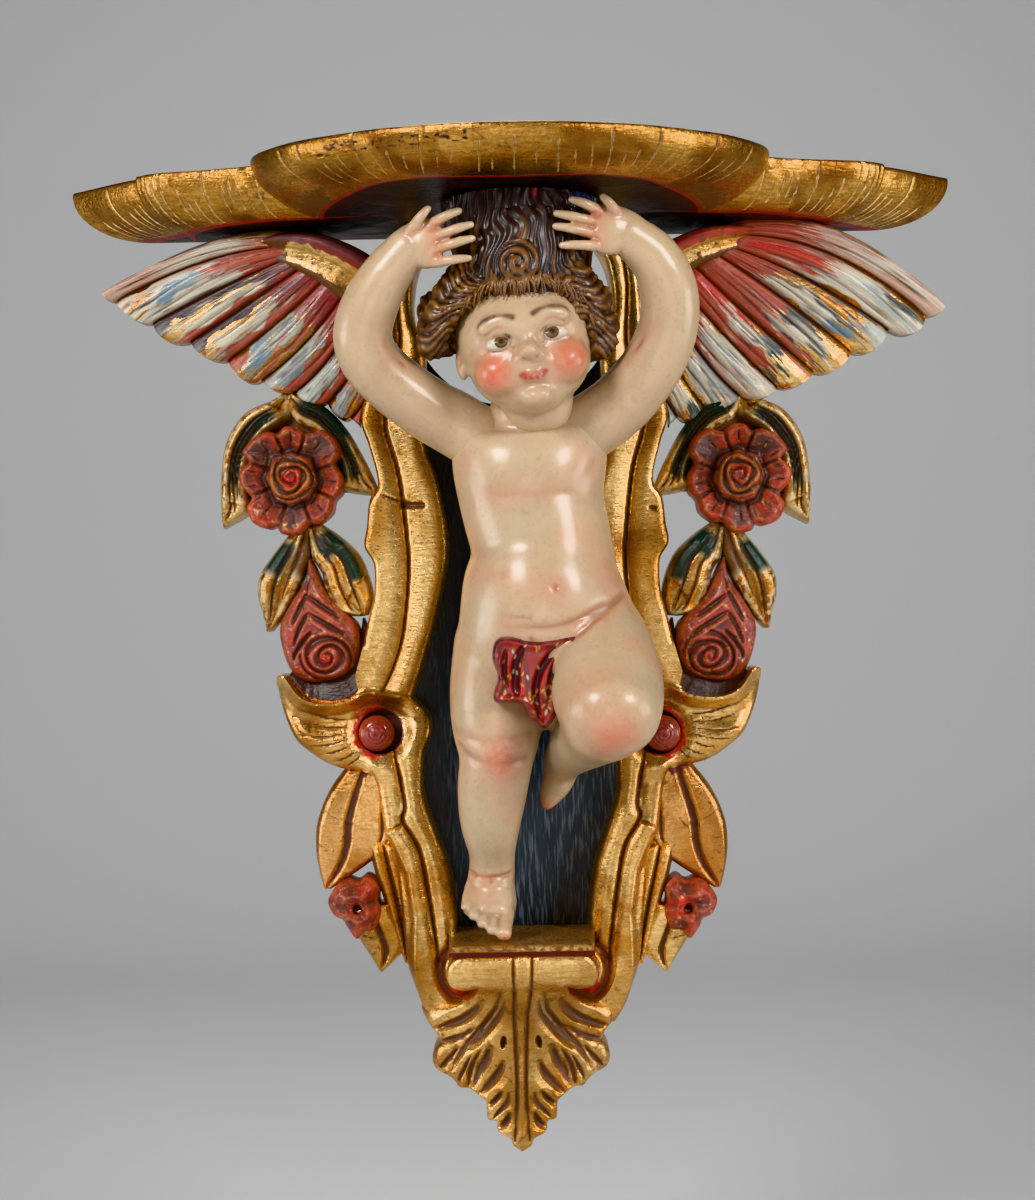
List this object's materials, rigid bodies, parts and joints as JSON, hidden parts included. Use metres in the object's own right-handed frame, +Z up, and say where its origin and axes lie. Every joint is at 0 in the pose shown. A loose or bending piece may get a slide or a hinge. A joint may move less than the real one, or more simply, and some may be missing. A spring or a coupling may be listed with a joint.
{
  "type": "angel figure corbel",
  "caption": "Wall bracket in which a winged angel with raised arms carries a lobed shelf, in front of a pierced scroll frame with rose garlands and an acanthus pendant.",
  "frame": {"origin": "on the wall plane, in the middle of the width, on the flat back of the panel behind the figure's hips", "axes": "X to the viewer's right, -Y out from the wall to the viewer, +Y into the wall, Z up"},
  "size_m": [0.452, 0.17, 0.495],
  "materials": {
    "shelf_gilding": "gold leaf over red bole on carved wood, crackled and worn brown at the rim",
    "frame_gilding": "gold leaf over red bole on carved wood, brown patina in the grooves, painted leaves and roses",
    "dark_panel": "blue-black paint on a flat board, brushed upright",
    "flesh_paint": "glossy varnished flesh paint, dark brown painted hair, red loincloth",
    "wing_paint": "red, white, pale blue and dark green brushed paint with gold edges, glossy",
    "berry_lacquer": "brownish red lacquer on a turned ball"
  },
  "bodies": {
    "root": {"shelf": "shelf_gilding", "carved_frame": "frame_gilding", "back_panel": "dark_panel", "angel": "flesh_paint", "left_wing": "wing_paint", "right_wing": "wing_paint", "left_berry": "berry_lacquer", "right_berry": "berry_lacquer"}
  },
  "joints": []
}
